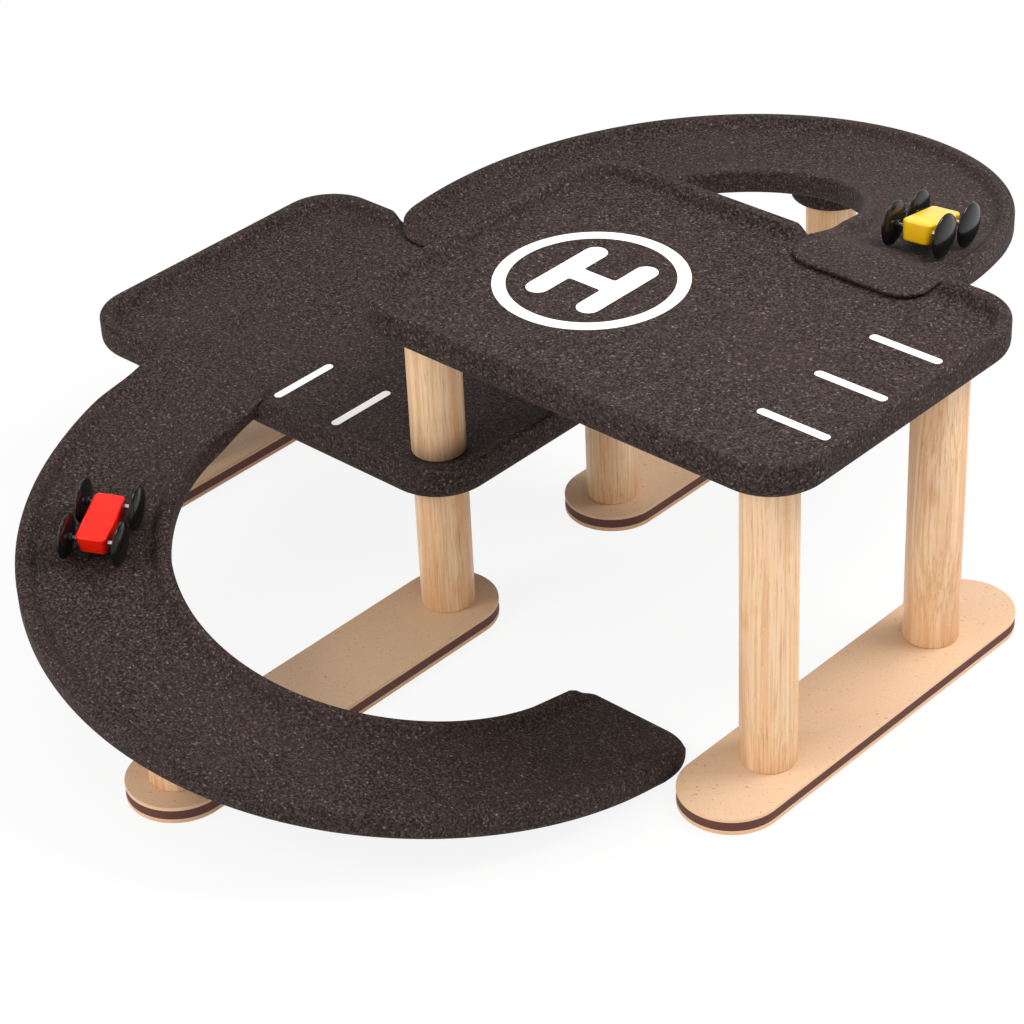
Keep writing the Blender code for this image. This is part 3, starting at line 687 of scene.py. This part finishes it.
# Each dash's middle and its length along X and Y in millimetres, and the deck's surface.
DASHES = {
    "upper_dash_back": ((224.3, 39.3), (43.4, 0), UPPER_SURFACE),
    "upper_dash_middle": ((224.3, -5.8), (43.4, 0), UPPER_SURFACE),
    "upper_dash_front": ((224.3, -51.2), (43.4, 0), UPPER_SURFACE),
    "lower_dash_left": ((-107.7, -66.4), (0, 44.4), LOWER_SURFACE),
    "lower_dash_right": ((-61.8, -67.2), (0, 44.4), LOWER_SURFACE),
}
for name, (centre, length, surface) in DASHES.items():
    half = Vector(max(reach * MM, DASH_WIDTH) / 2 for reach in length)
    centre = Vector(centre) * MM
    bm = board(
        centre - half, centre + half, surface - PRINT_BELOW, surface + PRINT_ABOVE,
        alike(DASH_END_R), DASH_END_STEPS)
    make_piece(bm, f"{name}_print", white_print, "garage")


# Cars
# Two small cars. Each body is a block of rubberwood with rounded corners, dipped in gloss paint. Steel
# pins through it carry four black lens-shaped wheels, whose hubs stand off it on the pins.

WHEEL_R = 12.5 * MM
WHEEL_OUTER_DOME = 2.9 * MM
WHEEL_INNER_DOME = 1.9 * MM
WHEEL_ROUND_STEPS = 64
WHEEL_DOME_STEPS = 28
WHEELBASE = 28 * MM
TRACK = 30 * MM
HUB_R = 2.6 * MM
HUB_END = -WHEEL_INNER_DOME - 1.7 * MM
HUB_EDGE_R = 1 * MM
HUB_EDGE_STEPS = 4
HUB_STEPS = 32
PIN_R = 1.25 * MM
PIN_REACH = 15.8 * MM
PIN_ARRIS = 0.2 * MM
PIN_ARRIS_STEPS = 2
PIN_STEPS = 24
BODY_WIDTH = 18 * MM
BODY_NOSE = WHEELBASE / 2 + 4.5 * MM
BODY_TAIL = WHEELBASE / 2 + 3.4 * MM
BODY_ABOVE = 5 * MM
BODY_BELOW = 7 * MM
BODY_CORNER_R = 3.2 * MM
BODY_CORNER_STEPS = 8
BODY_EDGE_R = 1.4 * MM
BODY_EDGE_STEPS = 4
BODY_TAPER = 1.2 * MM


def gloss_paint(name, slot, light, deep, gloss):
    """Thick dipped paint: glossy, slightly uneven, a touch lighter in clouds."""
    paint = Finish(name, slot)
    cloud = paint.noise(160, 2)
    ripple = paint.noise(420, 1)
    paint.surface(
        base_color=paint.tint(paint.ease(cloud, 0.3, 0.7), deep, light),
        roughness=0.2 + 0.1 * cloud,
        specular_ior_level=gloss, coat_weight=gloss, coat_roughness=0.05,
        normal=paint.relief(ripple, 0.03 * MM))
    return paint


YELLOW = colour(255, 202, 26)
YELLOW_DEEP = colour(254, 190, 12)
RED = colour(250, 34, 14)
RED_DEEP = colour(244, 28, 10)
LACQUER_BLACK = colour(12, 12, 14)
LACQUER_SMEAR = colour(26, 25, 26)
STEEL_GREY = colour(196, 197, 200)
STEEL_BRIGHT = colour(226, 227, 230)

yellow_paint = gloss_paint("yellow gloss paint", "yellow_paint", YELLOW, YELLOW_DEEP, 0.4)
red_paint = gloss_paint("red gloss paint", "red_paint", RED, RED_DEEP, 0.25)

black_gloss = Finish("black gloss lacquer", "black_gloss")
smear = black_gloss.noise(240, 3)
black_gloss.surface(
    base_color=black_gloss.tint(smear, LACQUER_BLACK, LACQUER_SMEAR),
    roughness=0.1 + 0.12 * smear,
    specular_ior_level=0.3,
    normal=black_gloss.relief(black_gloss.noise(500, 1), 0.02 * MM))

bright_steel = Finish("bright steel", "axle_steel")
drawn = bright_steel.noise(2500, 2)
bright_steel.surface(
    base_color=bright_steel.tint(drawn, STEEL_GREY, STEEL_BRIGHT),
    roughness=0.16 + 0.14 * drawn,
    metallic=1)

JOINTS = {joint["name"]: joint for joint in frame["joints"]}


def placed(bm, matrix):
    bmesh.ops.transform(bm, matrix=matrix, verts=bm.verts)
    return bm


for car, paint in (("yellow", yellow_paint), ("red", red_paint)):
    front, rear = (Vector(JOINTS[f"{car}_{end}_spin"]["pos_m"]) for end in ("front", "rear"))
    ahead = (front - rear).normalized()
    left = Vector(JOINTS[f"{car}_front_spin"]["axis"]).normalized()
    seat = Matrix((ahead, left, ahead.cross(left))).transposed().to_4x4()
    seat = Matrix.Translation((front + rear) / 2) @ seat

    half = BODY_WIDTH / 2
    bm = board(
        (-BODY_TAIL, -half), (BODY_NOSE, half), -BODY_BELOW, BODY_ABOVE,
        alike(BODY_CORNER_R), BODY_CORNER_STEPS)
    soften(bm, -BODY_BELOW, BODY_EDGE_R, BODY_EDGE_STEPS)
    soften(bm, BODY_ABOVE, BODY_EDGE_R, BODY_EDGE_STEPS)
    for vert in bm.verts:
        depth = max(BODY_ABOVE - vert.co.z, 0) / (BODY_ABOVE + BODY_BELOW)
        vert.co.y *= 1 - BODY_TAPER / half * depth
        vert.co.x *= 1 - BODY_TAPER / BODY_NOSE * depth
    make_piece(placed(bm, seat), f"{car}_block", paint, f"{car}_car", f"{car}_body")

    for end, along in (("front", WHEELBASE / 2), ("rear", -WHEELBASE / 2)):
        body = f"{car}_{end}_wheels"
        across = Matrix.Translation((along, 0, 0)) @ Matrix.Rotation(math.radians(90), 4, "X")
        bm = turned_blank((0, 0), PIN_R, -PIN_REACH, PIN_REACH, PIN_STEPS)
        soften(bm, -PIN_REACH, PIN_ARRIS, PIN_ARRIS_STEPS)
        soften(bm, PIN_REACH, PIN_ARRIS, PIN_ARRIS_STEPS)
        name = f"{car}_{end}"
        make_piece(placed(bm, seat @ across), f"{name}_pin", bright_steel, body, f"{name}_axle")
        for label, side in (("left", 1), ("right", -1)):
            spot = Matrix.Translation((along, side * TRACK / 2, 0))
            outwards = spot @ Matrix.Rotation(math.radians(-90 * side), 4, "X")
            bm = bmesh.new()
            bmesh.ops.create_uvsphere(
                bm, u_segments=WHEEL_ROUND_STEPS, v_segments=WHEEL_DOME_STEPS, radius=1)
            for vert in bm.verts:
                dome = WHEEL_OUTER_DOME if vert.co.z > 0 else WHEEL_INNER_DOME
                vert.co = (vert.co.x * WHEEL_R, vert.co.y * WHEEL_R, vert.co.z * dome)
            wheel = f"{name}_{label}"
            make_piece(
                placed(bm, seat @ outwards), f"{wheel}_disc", black_gloss, body, f"{wheel}_wheel")
            bm = turned_blank((0, 0), HUB_R, HUB_END, 0, HUB_STEPS)
            soften(bm, HUB_END, HUB_EDGE_R, HUB_EDGE_STEPS)
            make_piece(placed(bm, seat @ outwards), f"{wheel}_hub", black_gloss, body)


# Studio
# A white floor that keeps a faint shadow, a pale sky, a soft lamp over the back of the upper deck, a
# broad low one in front, a third high at the front left, and the camera where the photographer stood.

FLOOR_HALF = 6
FLOOR_DROP = 0.1 * MM
FLOOR_WHITE = (0.9, 0.9, 0.9, 1)
FLOOR_WHITE_SHARE = 0.88
SKY_LIGHT = 0.8

# The camera and the reflections see most of the floor as plain white, and the rest of it lit.
floor_finish = Finish("white studio floor")
floor_finish.surface(base_color=FLOOR_WHITE, roughness=0.9)
seen = 0
for ray in ("Camera", "Glossy", "Transmission"):
    of_kind = floor_finish.node("ShaderNodeLightPath", output=f"Is {ray} Ray")
    seen = floor_finish.node("ShaderNodeMath", {"operation": "MAXIMUM"}, {0: seen, 1: of_kind})
lit = Value(floor_finish, floor_finish.shader.outputs[0])
white = floor_finish.node("ShaderNodeEmission", {}, {"Color": (1, 1, 1, 1), "Strength": 1})
mixed = floor_finish.node(
    "ShaderNodeMixShader", {}, {0: seen * FLOOR_WHITE_SHARE, 1: lit, 2: white})
floor_finish.feed(floor_finish.tree.nodes["Material Output"].inputs["Surface"], mixed)

bm = bmesh.new()
bmesh.ops.create_grid(bm, x_segments=1, y_segments=1, size=FLOOR_HALF)
bmesh.ops.translate(bm, verts=bm.verts, vec=(0, 0, -FLOOR_DROP))
mesh = bpy.data.meshes.new("studio_floor")
bm.to_mesh(mesh)
bm.free()
mesh.materials.append(floor_finish.material)
floor = bpy.data.objects.new("studio_floor", mesh)
bpy.context.collection.objects.link(floor)

world = bpy.data.worlds.new("studio")
bpy.context.scene.world = world
world.use_nodes = True
sky = world.node_tree.nodes["Background"]
sky.inputs["Color"].default_value = (1, 1, 1, 1)
sky.inputs["Strength"].default_value = SKY_LIGHT

# Each lamp's place and breadth in metres, its power in watts and its tone.
LAMPS = {
    "key": ((0.5, 0.38, 0.95), 0.5, 7.2, (1, 0.97, 0.95)),
    "front": ((-0.3, -1.9, 0.42), 1.2, 3.6, (1, 0.97, 0.94)),
    "left": ((-0.5, -1.25, 1.05), 0.5, 6.4, (1, 0.96, 0.93)),
}
LAMP_TARGET = (0, 0, 0.1)
for name, (spot, size, power, tone) in LAMPS.items():
    lamp = bpy.data.lights.new(f"{name}_lamp", "AREA")
    lamp.shape = "DISK"
    lamp.size = size
    lamp.energy = power
    lamp.color = tone
    holder = bpy.data.objects.new(f"{name}_lamp", lamp)
    holder.location = spot
    aim = Vector(LAMP_TARGET) - Vector(spot)
    holder.rotation_euler = aim.to_track_quat("-Z", "Y").to_euler()
    bpy.context.collection.objects.link(holder)

CAMERA_AZIMUTH = math.radians(46.468)
CAMERA_ELEVATION = math.radians(33.305)
CAMERA_ROLL = math.radians(-4.259)
CAMERA_SPOT = (1.00128, -1.06182, 0.99298)
SENSOR = 36
PICTURE_SIDE = 1024
FOCAL_PIXELS = 3085.36
LENS_CENTRE_PIXELS = (389.39, 516.01)
across = Vector((math.cos(CAMERA_AZIMUTH), math.sin(CAMERA_AZIMUTH), 0))
onwards = Vector((
    -math.sin(CAMERA_AZIMUTH) * math.cos(CAMERA_ELEVATION),
    math.cos(CAMERA_AZIMUTH) * math.cos(CAMERA_ELEVATION),
    -math.sin(CAMERA_ELEVATION)))
upwards = across.cross(onwards)
right = math.cos(CAMERA_ROLL) * across + math.sin(CAMERA_ROLL) * upwards
up = math.cos(CAMERA_ROLL) * upwards - math.sin(CAMERA_ROLL) * across
lens = bpy.data.cameras.new("studio_camera")
lens.sensor_width = SENSOR
lens.lens = FOCAL_PIXELS / PICTURE_SIDE * SENSOR
lens.shift_x = 0.5 - LENS_CENTRE_PIXELS[0] / PICTURE_SIDE
lens.shift_y = LENS_CENTRE_PIXELS[1] / PICTURE_SIDE - 0.5
lens.clip_end = 20
camera = bpy.data.objects.new("studio_camera", lens)
facing_scene = Matrix((right, up, -onwards)).transposed().to_4x4()
camera.matrix_world = Matrix.Translation(CAMERA_SPOT) @ facing_scene
bpy.context.collection.objects.link(camera)
bpy.context.scene.camera = camera
bpy.context.scene.view_settings.view_transform = "Standard"
